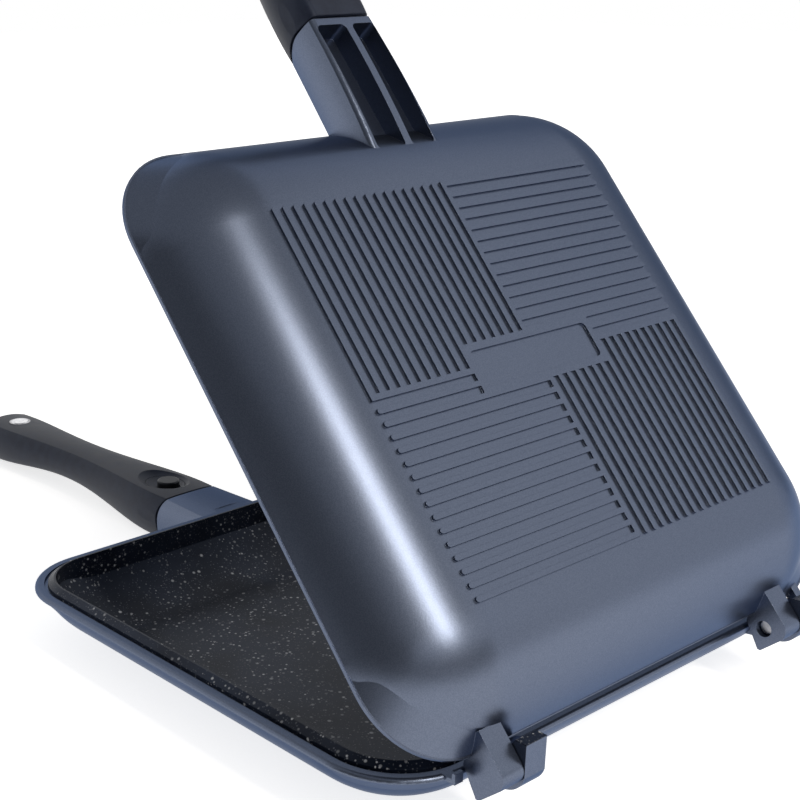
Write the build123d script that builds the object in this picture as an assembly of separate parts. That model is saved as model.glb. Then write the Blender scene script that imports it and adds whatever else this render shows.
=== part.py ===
from build123d import *
from math import sqrt
import os

# Stovetop sandwich toaster. Millimetres, +Z up. The lower half rests on its comb at z = 0, the
# hinge axis runs along X, the handles point to -Y. Both halves are drawn first with their parting
# plane at z = 0 and the tray hanging below it, and are placed at the end: the lower one is only
# raised, the upper one is mirrored, opened about the hinge pins and raised.

# Pan halves
pan_width = 250.0
pan_length = 234.0
pan_depth = 26.5
pan_wall = 3.0
shell_radius = 46.0
shell_margin = 1.0
parting_drop = 1.2
rim_corner = 33.0
rim_width = 9.0
rim_land = 1.8
rim_step = 0.4
flange_depth = 3.8
flange_inset = 3.0
collar_depth = 11.0
collar_inset = 0.3
lower_bead = 1.6
lid_bead = 0.6
seat_gap = 0.3
lid_open_angle = 48.5

# Sealing lip of the lower rim and the rabbet of the upper rim that takes it
lip_width = 3.4
lip_height = 2.4
lip_crest = 0.8
lip_slope = 1.9
lip_side_gap = 0.3
lip_top_gap = 0.4
groove_width = 1.6
groove_depth = 1.0

# Raised comb on the flat outer face, one quarter per turn
comb_height = 0.9
comb_pitch = 5.0
comb_ridge = 2.1
comb_arm = 2.3
comb_gap = comb_pitch - comb_ridge
ridges_across = 17
ridges_along = 15
comb_root = 1.0
plate_width = 65.0
plate_length = 14.5
plate_corner = 2.0
plate_frame = 3.0

# Hinge
hinge_offset = 8.2
pin_radius = 3.25
pin_running_gap = 0.05
pin_chamfer = 0.5
pin_seat_depth = 8.6
pin_reach_left = 8.4
pin_reach_right = 7.8
pin_end_gap = 0.4
knuckle_width = 10.3
knuckle_gap = 0.3
knuckle_inset_left = 40.7
knuckle_inset_right = 43.2
rim_sweep_gap = 0.3
lid_knuckle_height = 9.1
lid_knuckle_reach = 6.8
lid_knuckle_drop = 7.4
base_knuckle_height = 11.5
base_knuckle_reach = 9.3
base_knuckle_top = 4.9
base_knuckle_round = 1.2
base_knuckle_root = 3.4
stop_foot = 1.5
nub_width = 4.0
nub_gap = 2.6
nub_root = 3.5
nub_reach = 3.0
nub_drop = 3.2
nub_rise = 0.8
lid_nub_offset = 14.2

# Cast stub and tang. Places along the handle are distances from the rim of the lower half.
stub_root_inset = 23.0
stub_root_half = 19.0
stub_root_facet = 17.0
stub_root_depth = 20.0
stub_neck = 5.0
stub_neck_half = 18.0
stub_neck_facet = 15.6
stub_depth = 22.2
stub_end = 43.0
stub_end_half = 16.6
stub_end_facet = 14.0
stub_chin = 0.95
stub_round = 2.0
joint_reach = 35.5
joint_lead = 7.5
joint_gap = 0.8
joint_bend = 12.5
lid_handle_extra = 4.5
pocket_left = 15.4
pocket_right = -15.8
pocket_rib_left = 0.2
pocket_rib_right = -3.3
pocket_root_inset = 20.0
pocket_end_wall = 3.2
pocket_corner = 2.5
tang_half = 9.0
tang_drop = 8.2
tang_thickness = 5.2
tang_reach = 66.5
tang_root = 6.0
tang_gap = 0.15

# Grip. Each station has its distance from the rim, top facet and full half widths, and the drop of
# its top and bottom below the top of the grip.
grip_top = -1.0
handle_crown = 1.4
grip_chin = 0.84
grip_round = 3.0
grip_neck = 29.0
grip_neck_facet = 14.2
grip_neck_half = 16.8
grip_neck_bottom = 22.2
grip_shoulder = 91.0
grip_shoulder_facet = 10.6
grip_shoulder_half = 14.0
grip_shoulder_drop = 0.5
grip_shoulder_bottom = 19.6
grip_waist = 115.0
grip_waist_facet = 9.2
grip_waist_half = 12.8
grip_waist_drop = 1.0
grip_waist_bottom = 17.6
grip_heel = 167.0
grip_heel_facet = 11.2
grip_heel_half = 15.6
grip_heel_drop = 1.9
grip_heel_bottom = 20.6
grip_end = 205.0
grip_end_margin = 4.0
grip_end_facet = 11.6
grip_end_half = 16.2
grip_end_drop = 3.0
grip_end_bottom = 21.6
grip_end_corner = 13.0
grip_plan_half = 17.4

# Release button and its lock
button_place = 48.0
button_radius = 5.6
button_top = -0.4
button_travel = 2.2
button_gap = 0.15
flange_radius = 6.9
flange_thickness = 0.9
bezel_bottom = -5.9
bezel_half_width = 8.6
bezel_half_length = 12.0
bezel_offset = -2.5
bezel_gap = 0.1
button_edge = 0.8
button_skin = 1.6
scoop_half_width = 13.0
scoop_half_length = 17.5
scoop_half_height = 6.0
scoop_depth = 3.5
scoop_offset = -4.0
stem_radius = 2.0
stem_gap = 0.3
collar_radius = 4.2
collar_height = 2.0
lock_bore_radius = 4.7
lock_bore_bottom = -20.4
spigot_length = 1.5
spring_wire = 0.7
spring_radius = 3.2
spring_turns = 4.0
spring_end_gap = 0.05

# Magnet at the end of the grip
magnet_place = 188.0
magnet_radius = 5.0
magnet_thickness = 4.0
magnet_top = -3.0
magnet_edge = 0.4
cup_wall = 0.9
cup_gap = 0.1
cup_drop = 0.3
dish_half_width = 11.5
dish_half_length = 13.5
dish_half_height = 3.5
dish_depth = 0.6
clear = 10.0

# Places worked out from the sizes above
parting_height = pan_depth + comb_height
arc_rise = shell_radius - pan_depth
lower_level = -parting_drop - seat_gap / 2
lid_level = parting_drop - seat_gap / 2


def arc_reach(z):
    """How far the shell's big arc has come out from the flat at one height."""
    return sqrt(shell_radius**2 - (arc_rise - z) ** 2)


flat_x = pan_width / 2 - rim_step - arc_reach(lower_level - rim_land)
flat_y = pan_length / 2 - rim_step - arc_reach(lower_level - rim_land)
lid_rim_x = flat_x + arc_reach(lid_level - rim_land) + rim_step
lid_rim_y = flat_y + arc_reach(lid_level - rim_land) + rim_step
inner_x = pan_width / 2 - rim_width
inner_y = pan_length / 2 - rim_width
inner_corner = rim_corner - rim_width
lip_top = lower_level + lip_height
hinge_y = pan_length / 2 + hinge_offset
lower_sweep = hinge_offset - rim_sweep_gap
eye_radius = hinge_y - lid_rim_y - rim_sweep_gap
knuckle_plane_left = pan_width / 2 - knuckle_inset_left
knuckle_plane_right = knuckle_inset_right - pan_width / 2
comb_half_x = ridges_across * comb_pitch + comb_arm / 2
comb_half_y = ridges_along * comb_pitch + comb_arm / 2
rim_end = -pan_length / 2
joint_y = rim_end - joint_reach
button_y = rim_end - button_place
magnet_y = rim_end - magnet_place
tang_top = grip_top - tang_drop
tang_bottom = tang_top - tang_thickness
tang_end = rim_end - tang_reach
pocket_floor = tang_bottom - 2 * tang_gap
collar_top = tang_bottom + collar_height
flange_top = bezel_bottom - bezel_gap
bezel_y = button_y + bezel_offset


def slab(half_x, half_y, corner, low, high):
    """Upright block with rounded corners between two heights."""
    return extrude(Plane.XY.offset(low) * RectangleRounded(2 * half_x, 2 * half_y, corner), high - low)


def post(x, y, radius, low, high):
    """Upright round pin or hole between two heights."""
    return extrude(Plane.XY.offset(low) * Pos(x, y) * Circle(radius), high - low)


def block(x, y, z):
    """Box given by its low and high limits along each axis."""
    size = (x[1] - x[0], y[1] - y[0], z[1] - z[0])
    return Pos((x[0] + x[1]) / 2, (y[0] + y[1]) / 2, (z[0] + z[1]) / 2) * Box(*size)


def bowl(radius, depth):
    """Deep rounded box whose floor runs into its sides through one large arc."""
    corner = radius + shell_margin
    height = radius + shell_margin
    solid = slab(flat_x + radius, flat_y + radius, corner, -depth, height - depth)
    return fillet(solid.faces().sort_by(Axis.Z)[0].edges(), radius)


def sleeve(low, high):
    """Straight-sided body between two rounded rectangles, each given as half sizes, corner, height."""
    outlines = []
    for half_x, half_y, corner, z in (low, high):
        outlines.append(Plane.XY.offset(z) * RectangleRounded(2 * half_x, 2 * half_y, corner))
    return loft(outlines, ruled=True)


def ridge(start, end):
    """One finger of the comb, drawn along +X from the arm to its rounded tip."""
    length = end - start - comb_ridge / 2
    bar = Pos(start + length / 2, 0) * Rectangle(length, comb_ridge)
    return bar + Pos(end - comb_ridge / 2, 0) * Circle(comb_ridge / 2)


def comb():
    """Raised comb: four arms, straight fingers turning round them and a framed bare plate."""
    fingers = []
    for i in range(ridges_across):
        place = comb_half_x - comb_ridge / 2 - i * comb_pitch
        for turn in (-1, 1):
            fingers.append(Pos(-turn * place, 0) * Rot(0, 0, turn * 90) * ridge(0, comb_half_y))
    for i in range(ridges_along):
        place = comb_half_y - comb_ridge / 2 - i * comb_pitch
        for turn in (0, 180):
            fingers.append(Rot(0, 0, turn) * Pos(0, place) * ridge(0, comb_half_x))
    arms = Rectangle(2 * comb_half_x, comb_arm) + Rectangle(comb_arm, 2 * comb_half_y)
    frame = Rectangle(plate_width + 2 * plate_frame, plate_length + 2 * plate_frame)
    outline = arms + frame + fingers - RectangleRounded(plate_width, plate_length, plate_corner)
    return extrude(Plane.XY.offset(-pan_depth - comb_height) * outline, comb_height + comb_root)


def section(place, facet, half, top, bottom, chin, corner):
    """Cross-section of the handle: crowned top facet, full sides and a broad rounded underside."""
    crease = top - handle_crown
    middle = (top + bottom) / 2
    low = half * chin
    edges = [
        ThreePointArc((-facet, crease), (0, top), (facet, crease)),
        ThreePointArc((facet, crease), (half, middle), (low, bottom)),
        Line((low, bottom), (-low, bottom)),
        ThreePointArc((-low, bottom), (-half, middle), (-facet, crease)),
    ]
    face = make_face(edges)
    face = fillet(face.vertices().sort_by(Axis.Y)[:2], corner)
    return Plane(origin=(0, rim_end - place, 0), x_dir=(1, 0, 0), z_dir=(0, -1, 0)) * face


def joint_cutter(gap):
    """Everything on the grip side of the curved joint between stub and grip."""
    top_y = joint_y + joint_lead - gap
    back_y = joint_y - gap
    far_y = rim_end - grip_end - clear
    low = 4 * grip_top - 2 * grip_neck_bottom
    bend = grip_top - joint_bend
    line = [
        Line((far_y, clear), (top_y, clear)),
        Line((top_y, clear), (top_y, grip_top)),
        ThreePointArc((top_y, grip_top), (back_y + joint_lead * 0.3, grip_top + (bend - grip_top) * 0.42),
                      (back_y, bend)),
        Line((back_y, bend), (back_y, low)),
        Line((back_y, low), (far_y, low)),
        Line((far_y, low), (far_y, clear)),
    ]
    plane = Plane(origin=(-3 * grip_plan_half, 0, 0), x_dir=(0, 1, 0), z_dir=(1, 0, 0))
    return extrude(plane * make_face(line), 6 * grip_plan_half)


def grip_body():
    """The whole grip shape before it is divided at the joint: waisted, thicker at both ends."""
    stations = [
        (grip_neck, grip_neck_facet, grip_neck_half, 0, grip_neck_bottom),
        (grip_shoulder, grip_shoulder_facet, grip_shoulder_half, grip_shoulder_drop, grip_shoulder_bottom),
        (grip_waist, grip_waist_facet, grip_waist_half, grip_waist_drop, grip_waist_bottom),
        (grip_heel, grip_heel_facet, grip_heel_half, grip_heel_drop, grip_heel_bottom),
        (grip_end + grip_end_margin, grip_end_facet, grip_end_half, grip_end_drop, grip_end_bottom),
    ]
    sections = []
    for place, facet, half, drop, bottom in stations:
        sections.append(section(place, facet, half, grip_top - drop, grip_top - bottom, grip_chin, grip_round))
    return loft(sections)


def stub_body(extra):
    """Cast neck from inside the tray wall to the joint, longer on the lid."""
    stations = [
        (-stub_root_inset, stub_root_facet, stub_root_half, stub_root_depth),
        (stub_neck, stub_neck_facet, stub_neck_half, stub_depth),
        (stub_end + extra, stub_end_facet, stub_end_half, stub_depth),
    ]
    sections = []
    for place, facet, half, depth in stations:
        sections.append(section(place, facet, half, grip_top, grip_top - depth, stub_chin, stub_round))
    return loft(sections) - Pos(0, -extra) * joint_cutter(0)


def stub_pockets(extra):
    """Two open pockets in the outer face of the stub, from the tray wall to the joint, and a rib."""
    shell = bowl(shell_radius, pan_depth)
    back = joint_y - extra + pocket_end_wall
    front = rim_end + pocket_root_inset
    pockets = []
    for low_x, high_x in ((pocket_right, pocket_rib_right), (pocket_rib_left, pocket_left)):
        plan = Pos((low_x + high_x) / 2, (front + back) / 2)
        plan *= RectangleRounded(high_x - low_x, front - back, pocket_corner)
        pockets.append(extrude(Plane.XY.offset(pocket_floor - stub_depth) * plan, stub_depth) - shell)
    return pockets


def tang():
    """Tongue that reaches into the grip, slotted and counterbored for the lock pin."""
    tongue = block((-tang_half, tang_half), (tang_end, joint_y + tang_root), (tang_bottom, tang_top))
    slot_half = stem_radius + stem_gap
    slot = block((-slot_half, slot_half), (tang_end - 1, button_y), (tang_bottom - 1, tang_top + 1))
    slot += post(0, button_y, slot_half, tang_bottom - 1, tang_top + 1)
    seat = post(0, button_y, collar_radius + button_gap, tang_bottom - 1, collar_top + bezel_gap)
    return tongue - slot - seat


def hinge_profile(points, x_low, width):
    """Solid of a closed outline in the Y-Z plane between two places along the hinge."""
    plane = Plane(origin=(x_low, 0, 0), x_dir=(0, 1, 0), z_dir=(1, 0, 0))
    return extrude(plane * make_face(points), width)


def rim_ring(rim_x, rim_y, level, bead):
    """Rim of a half: thin outer band, the flange inside it and the collar that fills the corners."""
    band = slab(rim_x, rim_y, rim_corner, level - rim_land, level)
    band = fillet(band.faces().sort_by(Axis.Z)[-1].edges(), bead)
    flange = slab(rim_x - flange_inset, rim_y - flange_inset, rim_corner - flange_inset,
                  level - flange_depth, level)
    low = level - collar_depth
    low_reach = arc_reach(low) - collar_inset
    step = rim_step + collar_inset
    collar = sleeve((flat_x + low_reach, flat_y + low_reach, shell_margin + low_reach, low),
                    (rim_x - step, rim_y - step, rim_corner - step, level - rim_land))
    return band + flange + collar


def sealing_lip():
    """Lip of the lower rim: a crest at the tray's edge that slopes down to the groove."""
    lip_x = inner_x + lip_width
    lip_y = inner_y + lip_width
    corner = inner_corner + lip_width
    shoulder = lip_top - lip_slope
    lip = slab(lip_x, lip_y, corner, lower_level - groove_depth - 1, shoulder)
    lip += sleeve((lip_x, lip_y, corner, shoulder),
                  (inner_x + lip_crest, inner_y + lip_crest, inner_corner + lip_crest, lip_top))
    return lip - slab(inner_x, inner_y, inner_corner, -pan_depth, clear)


def pan_half(is_lid):
    """One cast half in the lower position, without its hinge knuckles."""
    rim_x, rim_y, level, bead, extra = pan_width / 2, pan_length / 2, lower_level, lower_bead, 0
    if is_lid:
        rim_x, rim_y, level, bead, extra = lid_rim_x, lid_rim_y, lid_level, lid_bead, lid_handle_extra
    shell = bowl(shell_radius, pan_depth)
    above = level - rim_land
    shell -= block((-pan_width, pan_width), (-pan_length, pan_length), (above, above + 2 * shell_radius))
    body = shell + rim_ring(rim_x, rim_y, level, bead) + stub_body(extra)
    body -= slab(lid_rim_x + 1, lid_rim_y + 1, rim_corner + 1, level, clear)
    for pocket in stub_pockets(extra):
        body -= pocket
    body += Pos(0, -extra) * tang()
    hollow = bowl(shell_radius - pan_wall, pan_depth - pan_wall)
    hollow &= slab(inner_x, inner_y, inner_corner, -pan_depth, clear)
    body -= hollow
    if is_lid:
        side = lip_width + lip_side_gap
        body -= slab(inner_x + side, inner_y + side, inner_corner + side, -lip_top - lip_top_gap, clear)
    else:
        side = lip_width + groove_width
        body -= slab(inner_x + side, inner_y + side, inner_corner + side, lower_level - groove_depth, clear)
        body += sealing_lip()
    return body + comb()


def lid_knuckle(x_low):
    """Upright eye of the lid, drawn in the lid's own closed position above the parting plane."""
    root_y = pan_length / 2 - 5
    back_y = hinge_y - lower_sweep + 1.0
    front_y = hinge_y + lid_knuckle_reach
    outline = [
        Line((root_y, lid_knuckle_height), (hinge_y + 1, lid_knuckle_height)),
        ThreePointArc((hinge_y + 1, lid_knuckle_height), (front_y - 1.9, lid_knuckle_height - 1.2),
                      (front_y, lid_knuckle_height - 4)),
        Line((front_y, lid_knuckle_height - 4), (front_y, -lid_knuckle_drop + 0.8)),
        Line((front_y, -lid_knuckle_drop + 0.8), (front_y - 1, -lid_knuckle_drop)),
        Line((front_y - 1, -lid_knuckle_drop), (back_y + 1, -lid_knuckle_drop + 2.4)),
        Line((back_y + 1, -lid_knuckle_drop + 2.4), (back_y, -flange_depth)),
        Line((back_y, -flange_depth), (back_y, -lid_level)),
        Line((back_y, -lid_level), (root_y, -lid_level)),
        Line((root_y, -lid_level), (root_y, lid_knuckle_height)),
    ]
    return hinge_profile(outline, x_low, knuckle_width)


def base_knuckle(x_low):
    """Eye of the lower half with the tall stop that the opened lid leans on."""
    rim_y = pan_length / 2 - base_knuckle_root
    wall_y = rim_y - base_knuckle_root
    front_y = hinge_y + base_knuckle_reach
    top_y = front_y - base_knuckle_top
    eye_y = hinge_y - sqrt(eye_radius**2 - lower_level**2)
    foot_z = sqrt(eye_radius**2 - stop_foot**2)
    outline = [
        Line((top_y, base_knuckle_height), (front_y, base_knuckle_height)),
        Line((front_y, base_knuckle_height), (front_y, -1)),
        ThreePointArc((front_y, -1), (front_y - 3.4, -6.2), (front_y - 9.5, -8.4)),
        Line((front_y - 9.5, -8.4), (wall_y, -10.5)),
        Line((wall_y, -10.5), (rim_y, lower_level)),
        Line((rim_y, lower_level), (eye_y, lower_level)),
        ThreePointArc((eye_y, lower_level), (hinge_y - eye_radius * 0.707, eye_radius * 0.707),
                      (hinge_y + stop_foot, foot_z)),
        Line((hinge_y + stop_foot, foot_z), (top_y, base_knuckle_height)),
    ]
    body = hinge_profile(outline, x_low, knuckle_width)
    top_edges = body.edges().filter_by(Axis.X).group_by(Axis.Z)[-1]
    return fillet(top_edges.sort_by(Axis.Y)[0], base_knuckle_round)


def along_x(x_low, x_high, radius):
    """Round pin or bore on the hinge axis."""
    plane = Plane(origin=(x_low, hinge_y, 0), x_dir=(0, 1, 0), z_dir=(1, 0, 0))
    return extrude(plane * Circle(radius), x_high - x_low)


def hinge_pin(plane_x, reach):
    """Pin pressed in a base knuckle and running in the lid knuckle beside it."""
    pin = along_x(plane_x - pin_seat_depth, plane_x + reach, pin_radius)
    return chamfer(pin.edges().filter_by(GeomType.CIRCLE), pin_chamfer)


def lower_pan():
    """Lower casting with base knuckles and the nub that keeps the lid from sliding off."""
    body = pan_half(False)
    for plane_x in (knuckle_plane_left, knuckle_plane_right):
        x_low = plane_x - knuckle_gap / 2 - knuckle_width
        body += base_knuckle(x_low)
        body -= along_x(plane_x - pin_seat_depth, plane_x + 1, pin_radius)
    x_low = knuckle_plane_left + knuckle_gap / 2 + knuckle_width + nub_gap
    low_y = pan_length / 2 - nub_root
    high_y = pan_length / 2 + nub_reach
    body += block((x_low, x_low + nub_width), (low_y, high_y), (-nub_drop, lower_level))
    raised_y = hinge_y - eye_radius
    body += block((x_low, x_low + nub_width), (raised_y, high_y), (lower_level - 1, nub_rise))
    return body


def upper_pan():
    """Upper casting, turned over onto the parting plane, with its eyes and its nub."""
    body = mirror(pan_half(True), about=Plane.XY)
    for plane_x, end in ((knuckle_plane_left, pin_reach_left + pin_end_gap), (knuckle_plane_right, 20)):
        body += lid_knuckle(plane_x + knuckle_gap / 2)
        body -= along_x(plane_x - 1, plane_x + end, pin_radius + pin_running_gap)
    x_high = knuckle_plane_right - lid_nub_offset
    nub = block((x_high - nub_width, x_high), (pan_length / 2 - nub_root, pan_length / 2 + nub_reach),
                (-lid_level, nub_drop))
    return body + nub


def grip():
    """Moulded grip with its tang socket, button well, lock bore, scoop and magnet seat."""
    body = grip_body() & joint_cutter(joint_gap)
    length = grip_end + stub_root_inset
    plan = Pos(0, rim_end - grip_end + length / 2)
    plan *= RectangleRounded(2 * grip_plan_half, length, grip_end_corner)
    body &= extrude(Plane.XY.offset(2 * lock_bore_bottom) * plan, -2 * lock_bore_bottom + clear)
    body -= scoop()
    body -= magnet_dish()
    body -= post(0, magnet_y, magnet_radius + cup_gap + cup_wall, magnet_top - magnet_thickness - cup_wall, clear)
    gap = tang_gap
    body -= block((-tang_half - gap, tang_half + gap), (tang_end - 1, joint_y + 2 * tang_root),
                  (tang_bottom - gap, tang_top + gap))
    body -= post(0, button_y, lock_bore_radius, lock_bore_bottom, tang_bottom)
    body -= post(0, button_y, flange_radius + button_gap, tang_top, bezel_bottom)
    body -= bezel_plate(bezel_gap)
    return body


def hollow_oval(y, half_width, half_length, half_height, bottom):
    """Oval ball that leaves a hollow with its lowest point at the given height."""
    ball = scale(Sphere(1), by=(half_width, half_length, half_height))
    return Pos(0, y, bottom + half_height) * ball


def scoop():
    """Oval thumb hollow round the button."""
    return hollow_oval(button_y + scoop_offset, scoop_half_width, scoop_half_length, scoop_half_height,
                       grip_top - scoop_depth)


def magnet_dish():
    """Shallow oval hollow round the magnet."""
    return hollow_oval(magnet_y, dish_half_width, dish_half_length, dish_half_height, magnet_top - dish_depth)


def bezel_plate(grow):
    """Oval plate from under the scoop to above the grip."""
    shape = Ellipse(bezel_half_width + grow, bezel_half_length + grow)
    return extrude(Plane.XY.offset(bezel_bottom) * Pos(0, bezel_y) * shape, -bezel_bottom)


def button_bezel():
    """Dished plate that keeps the button's flange in its well."""
    return bezel_plate(0) - scoop() - post(0, button_y, button_radius + button_gap, bezel_bottom - 1, clear)


def release_button():
    """Round push button with a flange under the bezel and a blind hole for the lock pin."""
    flange_low = flange_top - flange_thickness
    cap = post(0, button_y, button_radius, flange_low, button_top)
    cap = fillet(cap.faces().sort_by(Axis.Z)[-1].edges(), button_edge)
    cap += post(0, button_y, flange_radius, flange_low, flange_top)
    return cap - post(0, button_y, stem_radius, flange_low - 1, button_top - button_skin)


def lock_pin():
    """Steel pin: stem through the tang's slot, collar in its counterbore, spigot in the spring."""
    pin = post(0, button_y, stem_radius, tang_bottom - spigot_length, button_top - button_skin)
    return pin + post(0, button_y, collar_radius, tang_bottom, collar_top)


def lock_spring():
    """Square-wire spring between the bottom of the lock bore and the collar."""
    low = lock_bore_bottom + spring_wire / 2 + spring_end_gap
    high = tang_bottom - spring_wire / 2 - spring_end_gap
    path = Helix((high - low) / spring_turns, high - low, spring_radius, center=(0, button_y, low))
    start = Plane(origin=path @ 0, x_dir=(1, 0, 0), z_dir=path % 0)
    return sweep(start * Rectangle(spring_wire, spring_wire), path)


def magnet():
    """Disc magnet in the floor of its hollow."""
    disc = post(0, magnet_y, magnet_radius, magnet_top - magnet_thickness, magnet_top)
    return chamfer(disc.faces().sort_by(Axis.Z)[-1].edges(), magnet_edge)


def magnet_cup():
    """Steel cup pressed in the grip round the magnet."""
    outer = post(0, magnet_y, magnet_radius + cup_gap + cup_wall,
                 magnet_top - magnet_thickness - cup_wall, magnet_top - cup_drop)
    return outer - post(0, magnet_y, magnet_radius, magnet_top - magnet_thickness, clear)


def place_lower(solid):
    """Raise a lower piece onto its comb."""
    return Pos(0, 0, parting_height) * solid


def place_lid(solid):
    """Open a lid piece about the hinge pins and raise it."""
    axis = Axis((0, hinge_y, 0), (1, 0, 0))
    return Pos(0, 0, parting_height) * solid.rotate(axis, -lid_open_angle)


def write(name, solid):
    """Write one piece as a STEP file under its own name."""
    export_step(solid, "parts/" + name + ".step")


os.makedirs("parts", exist_ok=True)
write("lower_pan", place_lower(lower_pan()))
write("upper_pan", place_lid(upper_pan()))
write("hinge_pin_left", place_lower(hinge_pin(knuckle_plane_left, pin_reach_left)))
write("hinge_pin_right", place_lower(hinge_pin(knuckle_plane_right, pin_reach_right)))
handle_pieces = {
    "grip": grip,
    "button": release_button,
    "button_bezel": button_bezel,
    "lock_pin": lock_pin,
    "lock_spring": lock_spring,
    "magnet": magnet,
    "magnet_cup": magnet_cup,
}
for name, make in handle_pieces.items():
    piece = make()
    write("lower_" + name, place_lower(piece))
    write("upper_" + name, place_lid(mirror(Pos(0, -lid_handle_extra) * piece, about=Plane.XY)))
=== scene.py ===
from math import radians

import bmesh
import bpy
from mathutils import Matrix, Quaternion, Vector

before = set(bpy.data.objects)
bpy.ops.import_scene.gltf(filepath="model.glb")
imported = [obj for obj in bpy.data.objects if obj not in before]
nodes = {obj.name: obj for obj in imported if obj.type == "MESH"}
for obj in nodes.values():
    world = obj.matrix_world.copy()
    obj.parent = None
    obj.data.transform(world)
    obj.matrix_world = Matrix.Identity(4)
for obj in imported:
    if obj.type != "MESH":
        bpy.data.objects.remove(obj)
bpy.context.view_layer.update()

# Camera. The photograph looks down on the hinge side from the left, with the lid standing open,
# and is a crop of a wider view, so the lens is shifted. Place, lens and shift were fitted together
# to the edges of the lid, the comb and both grips.
camera_place = Vector((0.42136, 0.39551, 0.28307))
camera_forward = Vector((-0.604472, -0.723221, -0.334013))
camera_roll = radians(-0.449)
camera_lens = 66.48
camera_shift_right = 0.2003
camera_shift_up = 0.0803
camera_data = bpy.data.cameras.new("camera")
camera = bpy.data.objects.new("camera", camera_data)
bpy.context.scene.collection.objects.link(camera)
bpy.context.scene.camera = camera
level_turn = camera_forward.to_track_quat("-Z", "Y")
camera.location = camera_place
camera.rotation_mode = "QUATERNION"
camera.rotation_quaternion = Quaternion(camera_forward, -camera_roll) @ level_turn
camera_data.sensor_width = 36
camera_data.lens = camera_lens
camera_data.shift_x = camera_shift_right
camera_data.shift_y = camera_shift_up
camera_data.clip_start = 0.01
camera_data.clip_end = 20
bpy.context.scene.view_settings.view_transform = "Standard"

# Lower and upper pan. Two halves of one die-cast tray with a satin metallic coat outside and a
# black speckled non-stick coat inside. The coats meet along the groove of the rim, so one material
# holds both, told apart by where the surface lies in its half.
tray_flat = (0.08456, 0.07656)
tray_arc_rise = 0.0195
tray_mid_radius = 0.0445
rim_corner_centre = (0.092, 0.084)
lip_reach = 0.0276
knuckle_top_height = 0.0112
parting_height = 0.0274
hinge_place = (0, 0.1252, parting_height)
lid_open = radians(48.5)
coat_colour = (0.125, 0.148, 0.205, 1)
coat_evenness = 0.55
coat_metal_share = 0.94
coat_roughness = 0.28
coat_roughness_spread = 0.05
coat_specular = 0.35
coat_edge_tint = (0.36, 0.42, 0.56, 1)
flake_light = (0.155, 0.180, 0.245, 1)
flake_dark = (0.095, 0.115, 0.165, 1)
flake_scale = 2600
flake_range = (0.35, 0.65)
inside_colour = (0.004, 0.006, 0.013, 1)
inside_roughness = 0.36
# The lighter bluish clouds on the black inside coat are a painted sheen, laid in random patches.
painted_sheen_colour = (0.022, 0.030, 0.052, 1)
painted_sheen_scale = 22
painted_sheen_range = (0.35, 0.70)
speck_white = (0.80, 0.81, 0.84, 1)
speck_grey = (0.22, 0.23, 0.26, 1)
speck_least_size = 0.25
speck_size_spread = 0.9
speck_soft_edge = 0.5
speck_least_strength = 0.3
speck_strength_spread = 0.7
dust_strength = 0.8
dust_grain = {"Scale": 900.0, "Share": 0.9, "Radius": 0.34}
fine_grain = {"Scale": 500.0, "Share": 0.85, "Radius": 0.32}
bold_grain = {"Scale": 300.0, "Share": 0.8, "Radius": 0.26}
crowd_scale = 45
crowd_range = (0.40, 0.62)
cast_relief = 0.10
cast_relief_depth = 0.0002
cast_edge_radius = 0.0002
edge_samples = 3


def new_group(name, inputs, outputs):
    """An empty node group with its named sockets, its inlet and its outlet."""
    group = bpy.data.node_groups.new(name, "ShaderNodeTree")
    for kind, sockets in (("INPUT", inputs), ("OUTPUT", outputs)):
        for label, socket in sockets.items():
            group.interface.new_socket(label, in_out=kind, socket_type=socket)
    source = group.nodes.new("NodeGroupInput")
    sink = group.nodes.new("NodeGroupOutput")
    return group, source, sink


def feed(tree, socket, value):
    """Link a socket, or set a plain number, colour or vector on it."""
    if isinstance(value, bpy.types.NodeSocket):
        tree.links.new(value, socket)
    else:
        socket.default_value = value


def maths(tree, operation, first, second=0.0, clamp=False):
    node = tree.nodes.new("ShaderNodeMath")
    node.operation = operation
    node.use_clamp = clamp
    feed(tree, node.inputs[0], first)
    feed(tree, node.inputs[1], second)
    return node.outputs[0]


def length_of(tree, x, y, z):
    join = tree.nodes.new("ShaderNodeCombineXYZ")
    for socket, value in zip(join.inputs, (x, y, z)):
        feed(tree, socket, value)
    length = tree.nodes.new("ShaderNodeVectorMath")
    length.operation = "LENGTH"
    tree.links.new(join.outputs[0], length.inputs[0])
    return length.outputs["Value"]


def beyond(tree, value, edge):
    """How far a value lies past an edge, and 0 before it."""
    return maths(tree, "MAXIMUM", maths(tree, "SUBTRACT", value, edge), 0)


def ramp(tree, value, low, high):
    """0 below one value, 1 above the other, and a smooth rise between them."""
    node = tree.nodes.new("ShaderNodeMapRange")
    node.interpolation_type = "SMOOTHSTEP"
    feed(tree, node.inputs["Value"], value)
    feed(tree, node.inputs["From Min"], low)
    feed(tree, node.inputs["From Max"], high)
    return node.outputs[0]


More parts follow.
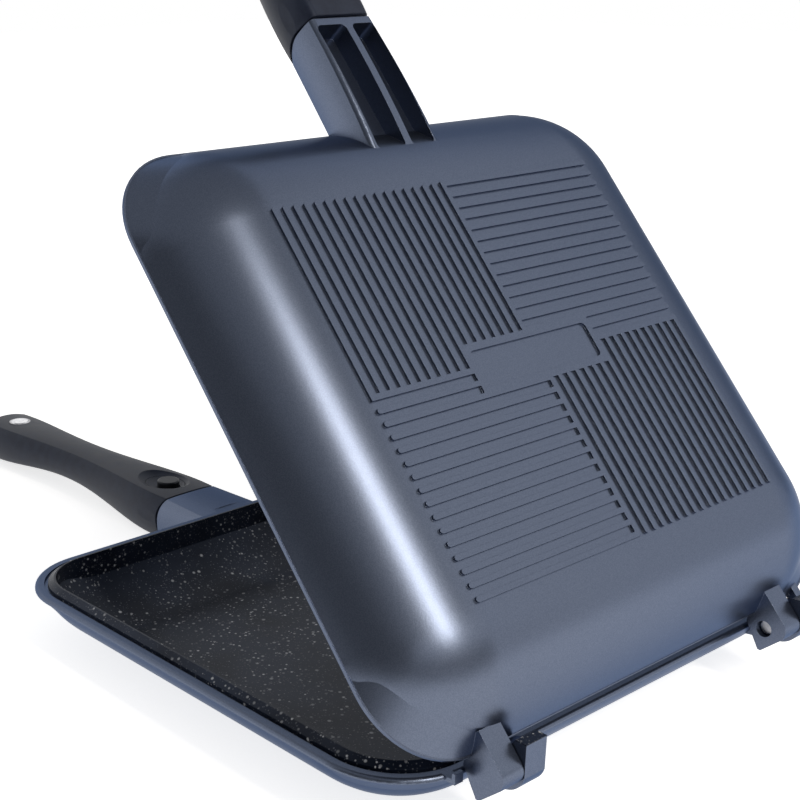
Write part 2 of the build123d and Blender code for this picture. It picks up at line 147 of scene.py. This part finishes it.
def tray_inside_group():
    """1 on the non-stick coat of a half whose parting plane is z = 0 and whose tray hangs below."""
    inputs = {"Place": "NodeSocketVector"}
    group, source, sink = new_group("tray_inside", inputs, {"Mask": "NodeSocketFloat"})
    parts = group.nodes.new("ShaderNodeSeparateXYZ")
    group.links.new(source.outputs["Place"], parts.inputs[0])
    across = maths(group, "ABSOLUTE", parts.outputs[0])
    along = maths(group, "ABSOLUTE", parts.outputs[1])
    rise = maths(group, "SUBTRACT", parts.outputs[2], tray_arc_rise)
    past_flat_across = beyond(group, across, tray_flat[0])
    past_flat_along = beyond(group, along, tray_flat[1])
    depth = length_of(group, past_flat_across, past_flat_along, rise)
    within = maths(group, "LESS_THAN", depth, tray_mid_radius)
    past_corner_across = beyond(group, across, rim_corner_centre[0])
    past_corner_along = beyond(group, along, rim_corner_centre[1])
    reach = length_of(group, past_corner_across, past_corner_along, 0.0)
    inner = maths(group, "LESS_THAN", reach, lip_reach)
    group.links.new(maths(group, "MULTIPLY", within, inner), sink.inputs["Mask"])
    return group


def specks_group():
    """Scattered specks of one grain size, each with its own radius, strength and place."""
    inputs = {"Place": "NodeSocketVector", "Scale": "NodeSocketFloat",
              "Share": "NodeSocketFloat", "Radius": "NodeSocketFloat"}
    group, source, sink = new_group("specks", inputs, {"Mask": "NodeSocketFloat"})
    cells = group.nodes.new("ShaderNodeTexVoronoi")
    group.links.new(source.outputs["Place"], cells.inputs["Vector"])
    group.links.new(source.outputs["Scale"], cells.inputs["Scale"])
    chance = group.nodes.new("ShaderNodeSeparateColor")
    group.links.new(cells.outputs["Color"], chance.inputs[0])
    shown = maths(group, "LESS_THAN", chance.outputs[0], source.outputs["Share"])
    spread = maths(group, "MULTIPLY", chance.outputs[1], speck_size_spread)
    share = maths(group, "ADD", spread, speck_least_size)
    size = maths(group, "MULTIPLY", share, source.outputs["Radius"])
    margin = maths(group, "SUBTRACT", size, cells.outputs["Distance"])
    soft = maths(group, "DIVIDE", margin, maths(group, "MULTIPLY", size, speck_soft_edge), clamp=True)
    vigour = maths(group, "MULTIPLY", chance.outputs[2], speck_strength_spread)
    strength = maths(group, "ADD", vigour, speck_least_strength)
    mask = maths(group, "MULTIPLY", maths(group, "MULTIPLY", soft, shown), strength)
    group.links.new(mask, sink.inputs["Mask"])
    return group


tray_inside = tray_inside_group()
specks = specks_group()


def place_group(tree, group, **values):
    """Put a node group in a material, with its inputs fed by name."""
    node = tree.nodes.new("ShaderNodeGroup")
    node.node_tree = group
    for name, value in values.items():
        feed(tree, node.inputs[name], value)
    return node.outputs[0]


def mix_colour(tree, factor, first, second):
    node = tree.nodes.new("ShaderNodeMix")
    node.data_type = "RGBA"
    feed(tree, node.inputs[0], factor)
    feed(tree, node.inputs[6], first)
    feed(tree, node.inputs[7], second)
    return node.outputs[2]


def mix_value(tree, factor, first, second):
    node = tree.nodes.new("ShaderNodeMix")
    feed(tree, node.inputs[0], factor)
    feed(tree, node.inputs[2], first)
    feed(tree, node.inputs[3], second)
    return node.outputs[0]


def noise(tree, place, scale, detail):
    node = tree.nodes.new("ShaderNodeTexNoise")
    node.inputs["Scale"].default_value = scale
    node.inputs["Detail"].default_value = detail
    tree.links.new(place, node.inputs["Vector"])
    return node.outputs["Fac"]


def skin(tree, height, strength, depth, edge_radius=0.0):
    """Fine relief of a surface, whose sharp edges catch the light as if slightly rounded."""
    node = tree.nodes.new("ShaderNodeBump")
    node.inputs["Strength"].default_value = strength
    node.inputs["Distance"].default_value = depth
    tree.links.new(height, node.inputs["Height"])
    if edge_radius:
        edge = tree.nodes.new("ShaderNodeBevel")
        edge.samples = edge_samples
        edge.inputs["Radius"].default_value = edge_radius
        tree.links.new(edge.outputs[0], node.inputs["Normal"])
    return node.outputs[0]


def new_material(name):
    """A material with its tree, its shader and the place of each point on the object."""
    material = bpy.data.materials.new(name)
    material.use_nodes = True
    tree = material.node_tree
    here = tree.nodes.new("ShaderNodeTexCoord").outputs["Object"]
    return material, tree, tree.nodes["Principled BSDF"], here


def half_place(tree, here, is_lid):
    """Where a point lies in its own half, drawn closed, with the tray below its parting plane."""
    sign = 1
    if is_lid:
        sign = -1
        closed = tree.nodes.new("ShaderNodeVectorRotate")
        closed.rotation_type = "X_AXIS"
        closed.inputs["Center"].default_value = hinge_place
        closed.inputs["Angle"].default_value = lid_open
        tree.links.new(here, closed.inputs["Vector"])
        here = closed.outputs[0]
    half = tree.nodes.new("ShaderNodeMapping")
    half.vector_type = "POINT"
    half.inputs["Scale"].default_value = (1, 1, sign)
    half.inputs["Location"].default_value = (0, 0, -sign * parting_height)
    tree.links.new(here, half.inputs["Vector"])
    return half.outputs[0]


def above_rim(tree, place):
    """1 above the rim of the lower half, on the knuckles' tops."""
    parts = tree.nodes.new("ShaderNodeSeparateXYZ")
    tree.links.new(place, parts.inputs[0])
    return maths(tree, "GREATER_THAN", parts.outputs[2], knuckle_top_height)


def pan_material(name, is_lid):
    """Satin metallic coat outside and speckled non-stick inside with clouds of painted sheen, on one
    casting.
    """
    material, tree, shader, here = new_material(name)
    place = half_place(tree, here, is_lid)
    mask = place_group(tree, tray_inside, Place=place)
    if not is_lid:
        mask = maths(tree, "MAXIMUM", mask, above_rim(tree, place))
    flake = noise(tree, here, flake_scale, detail=2)
    outside = mix_colour(tree, ramp(tree, flake, *flake_range), flake_dark, flake_light)
    outside = mix_colour(tree, coat_evenness, outside, coat_colour)
    # Painted sheen: lighter bluish clouds mixed into the black inside coat.
    sheen_cloud = noise(tree, here, painted_sheen_scale, detail=3)
    inside_with_painted_sheen = mix_colour(tree, ramp(tree, sheen_cloud, *painted_sheen_range), inside_colour, painted_sheen_colour)
    crowd = ramp(tree, noise(tree, here, crowd_scale, detail=2), *crowd_range)
    dust = place_group(tree, specks, Place=here, **dust_grain)
    fine = place_group(tree, specks, Place=here, **fine_grain)
    bold = place_group(tree, specks, Place=here, **bold_grain)
    inside = mix_colour(tree, maths(tree, "MULTIPLY", dust, dust_strength), inside_with_painted_sheen, speck_grey)
    inside = mix_colour(tree, maths(tree, "MULTIPLY", fine, crowd), inside, speck_white)
    inside = mix_colour(tree, bold, inside, speck_white)
    tree.links.new(mix_colour(tree, mask, outside, inside), shader.inputs["Base Color"])
    bare_share = maths(tree, "SUBTRACT", 1, mask)
    metal = maths(tree, "MULTIPLY", bare_share, coat_metal_share)
    tree.links.new(metal, shader.inputs["Metallic"])
    shader.inputs["Specular IOR Level"].default_value = coat_specular
    shader.inputs["Specular Tint"].default_value = coat_edge_tint
    unevenness = maths(tree, "MULTIPLY", flake, coat_roughness_spread)
    satin = maths(tree, "ADD", unevenness, coat_roughness)
    inside_extra = maths(tree, "MULTIPLY", mask, inside_roughness - coat_roughness)
    tree.links.new(maths(tree, "ADD", satin, inside_extra), shader.inputs["Roughness"])
    relief = mix_value(tree, mask, flake, bold)
    normal = skin(tree, relief, cast_relief, cast_relief_depth, cast_edge_radius)
    tree.links.new(normal, shader.inputs["Normal"])
    return material


def dress(node, material):
    """Give a piece its material."""
    nodes[node].data.materials.clear()
    nodes[node].data.materials.append(material)


dress("lower_pan", pan_material("lower_pan_coats", False))
dress("upper_pan", pan_material("upper_pan_coats", True))

# Grips. Dark heat-resistant mouldings with a satin, faintly mottled skin, pushed onto the cast
# tangs. The dished plates round the buttons have the same skin, and the buttons are blacker.
grip_colour = (0.010, 0.013, 0.025, 1)
grip_light = (0.018, 0.023, 0.040, 1)
grip_roughness = 0.36
button_colour = (0.008, 0.008, 0.010, 1)
button_light = (0.018, 0.018, 0.021, 1)
button_roughness = 0.26
moulded_specular = 0.26
moulded_tint = (0.72, 0.80, 1.0, 1)
moulded_relief = 0.12
moulded_relief_depth = 0.0002
moulded_edge_radius = 0.0008
mottle_scale = 160
mottle_range = (0.3, 0.7)
mottle_roughness = 0.14
spark_grain_scale = 1900


def moulded_material(name, colour, lighter, roughness):
    """Moulded plastic: a mottled dark body colour under a fine spark-eroded grain."""
    material, tree, shader, here = new_material(name)
    mottle = noise(tree, here, mottle_scale, detail=4)
    grain = noise(tree, here, spark_grain_scale, detail=2)
    body = mix_colour(tree, ramp(tree, mottle, *mottle_range), colour, lighter)
    tree.links.new(body, shader.inputs["Base Color"])
    unevenness = maths(tree, "MULTIPLY", mottle, mottle_roughness)
    tree.links.new(maths(tree, "ADD", unevenness, roughness), shader.inputs["Roughness"])
    shader.inputs["Specular IOR Level"].default_value = moulded_specular
    shader.inputs["Specular Tint"].default_value = moulded_tint
    normal = skin(tree, grain, moulded_relief, moulded_relief_depth, moulded_edge_radius)
    tree.links.new(normal, shader.inputs["Normal"])
    return material


grip_skin = moulded_material("grip_skin", grip_colour, grip_light, grip_roughness)
button_skin = moulded_material("button_skin", button_colour, button_light, button_roughness)
for side in ("lower", "upper"):
    dress(side + "_grip", grip_skin)
    dress(side + "_button_bezel", grip_skin)
    dress(side + "_button", button_skin)

# Steel pieces. Turned hinge pins and lock pins, wound springs and the pressed cups round the
# magnets are bare steel with fine turning marks. The magnets are plated bright.
steel_colour = (0.55, 0.55, 0.57, 1)
steel_shade = (0.40, 0.40, 0.42, 1)
steel_roughness = 0.26
plated_colour = (0.86, 0.86, 0.88, 1)
plated_shade = (0.70, 0.70, 0.73, 1)
plated_roughness = 0.16
turning_scale = 1800
turning_relief = 0.05
turning_relief_depth = 0.0001
turning_roughness = 0.12
wear_scale = 300
wear_range = (0.35, 0.65)


def metal_material(name, colour, shade, roughness):
    """Bare metal with the faint streaks of turning or pressing."""
    material, tree, shader, here = new_material(name)
    marks = noise(tree, here, turning_scale, detail=2)
    wear = noise(tree, here, wear_scale, detail=3)
    worn = mix_colour(tree, ramp(tree, wear, *wear_range), shade, colour)
    tree.links.new(worn, shader.inputs["Base Color"])
    shader.inputs["Metallic"].default_value = 1
    unevenness = maths(tree, "MULTIPLY", marks, turning_roughness)
    tree.links.new(maths(tree, "ADD", unevenness, roughness), shader.inputs["Roughness"])
    normal = skin(tree, marks, turning_relief, turning_relief_depth)
    tree.links.new(normal, shader.inputs["Normal"])
    return material


bare_steel = metal_material("bare_steel", steel_colour, steel_shade, steel_roughness)
plated_disc = metal_material("plated_disc", plated_colour, plated_shade, plated_roughness)
for node in ("hinge_pin_left", "hinge_pin_right"):
    dress(node, bare_steel)
for side in ("lower", "upper"):
    dress(side + "_lock_pin", bare_steel)
    dress(side + "_lock_spring", bare_steel)
    dress(side + "_magnet_cup", bare_steel)
    dress(side + "_magnet", plated_disc)

# Floor and room. A pale matt floor under the comb that keeps the object's shadow, in a white room.
# Both are lifted to white where the camera or a shiny surface looks at them, the floor more so
# further out, and the room lights the object only dimly.
white = (1, 1, 1, 1)
floor_half = 4.0
floor_colour = (0.86, 0.86, 0.87, 1)
floor_roughness = 0.9
near_lift = 0.74
far_lift = 0.95
near_reach = 0.35
far_reach = 1.10
room_light = 0.40
room_white = 1.0


def looked_at(tree):
    """1 where a camera, mirrored or transmitted ray meets the surface, and 0 for scattered light."""
    path = tree.nodes.new("ShaderNodeLightPath")
    total = maths(tree, "MAXIMUM", path.outputs["Is Camera Ray"], path.outputs["Is Glossy Ray"])
    return maths(tree, "MAXIMUM", total, path.outputs["Is Transmission Ray"])


def floor_material():
    material, tree, shader, here = new_material("floor_paint")
    shader.inputs["Base Color"].default_value = floor_colour
    shader.inputs["Roughness"].default_value = floor_roughness
    shader.inputs["Specular IOR Level"].default_value = 0.0
    shader.inputs["Emission Color"].default_value = white
    distance = tree.nodes.new("ShaderNodeVectorMath")
    distance.operation = "LENGTH"
    tree.links.new(here, distance.inputs[0])
    far_share = ramp(tree, distance.outputs["Value"], near_reach, far_reach)
    lift = mix_value(tree, far_share, near_lift, far_lift)
    glow = maths(tree, "MULTIPLY", looked_at(tree), lift)
    tree.links.new(glow, shader.inputs["Emission Strength"])
    return material


floor_mesh = bmesh.new()
bmesh.ops.create_grid(floor_mesh, x_segments=1, y_segments=1, size=floor_half)
floor_data = bpy.data.meshes.new("floor")
floor_mesh.to_mesh(floor_data)
floor_mesh.free()
floor_data.materials.append(floor_material())
floor = bpy.data.objects.new("floor", floor_data)
bpy.context.scene.collection.objects.link(floor)

world = bpy.data.worlds.new("room")
bpy.context.scene.world = world
world.use_nodes = True
room = world.node_tree
backdrop = room.nodes["Background"]
backdrop.inputs["Color"].default_value = white
room.links.new(mix_value(room, looked_at(room), room_light, room_white), backdrop.inputs["Strength"])

# Lamp. One long warm soft box overhead on the hinge side draws the bright line down the rounded
# edge of the lid and lights its flat.
long_box_place = Vector((0.05, 1.36, 1.36))
long_box_target = Vector((0.05, 0.05, 0.15))
long_box_width = 0.30
long_box_length = 1.0
long_box_power = 17
long_box_colour = (1.0, 0.93, 0.82)
long_box_data = bpy.data.lights.new("long_box", "AREA")
long_box_data.shape = "RECTANGLE"
long_box_data.size = long_box_width
long_box_data.size_y = long_box_length
long_box_data.energy = long_box_power
long_box_data.color = long_box_colour
long_box = bpy.data.objects.new("long_box", long_box_data)
bpy.context.scene.collection.objects.link(long_box)
long_box.location = long_box_place
long_box.rotation_mode = "QUATERNION"
long_box.rotation_quaternion = (long_box_target - long_box_place).to_track_quat("-Z", "Y")

# Dark cards. Studio flags overhead, behind the camera, past the hinge and behind the grips, out
# of the picture, that the satin coat shows as the dark sides of its rounded edges.
card_colour = (0.95, 0.97, 1.0, 1)
card_body = (0, 0, 0, 1)


def dark_card(name, glow, place, target, width, height):
    """A flat card that faces its target and shows only in shiny surfaces."""
    mesh = bmesh.new()
    bmesh.ops.create_grid(mesh, x_segments=1, y_segments=1, size=0.5)
    bmesh.ops.scale(mesh, vec=(width, height, 1), verts=mesh.verts)
    turn = (Vector(target) - Vector(place)).to_track_quat("Z", "Y").to_matrix()
    bmesh.ops.rotate(mesh, cent=(0, 0, 0), matrix=turn, verts=mesh.verts)
    bmesh.ops.translate(mesh, vec=place, verts=mesh.verts)
    data = bpy.data.meshes.new(name)
    mesh.to_mesh(data)
    mesh.free()
    paint = bpy.data.materials.new(name)
    paint.use_nodes = True
    shader = paint.node_tree.nodes["Principled BSDF"]
    shader.inputs["Base Color"].default_value = card_body
    shader.inputs["Specular IOR Level"].default_value = 0.0
    shader.inputs["Emission Color"].default_value = card_colour
    shader.inputs["Emission Strength"].default_value = glow
    data.materials.append(paint)
    card = bpy.data.objects.new(name, data)
    bpy.context.scene.collection.objects.link(card)
    card.visible_camera = False
    card.visible_diffuse = False
    card.visible_shadow = False


dark_card("ceiling_card", glow=0.38, place=(0.9, 0.4, 1.9), target=(0.9, 0.4, 0.0), width=4.4, height=4.4)
dark_card("camera_card", glow=0.14, place=(2.2, 0.6, 0.75), target=(0.0, 0.2, 0.2), width=4.0, height=2.1)
dark_card("hinge_card", glow=0.30, place=(0.1, 2.4, 0.42), target=(0.0, 0.1, 0.2), width=3.8, height=0.84)
dark_card("grip_card", glow=0.56, place=(-2.2, -0.9, 0.9), target=(0.0, 0.0, 0.2), width=3.4, height=1.8)
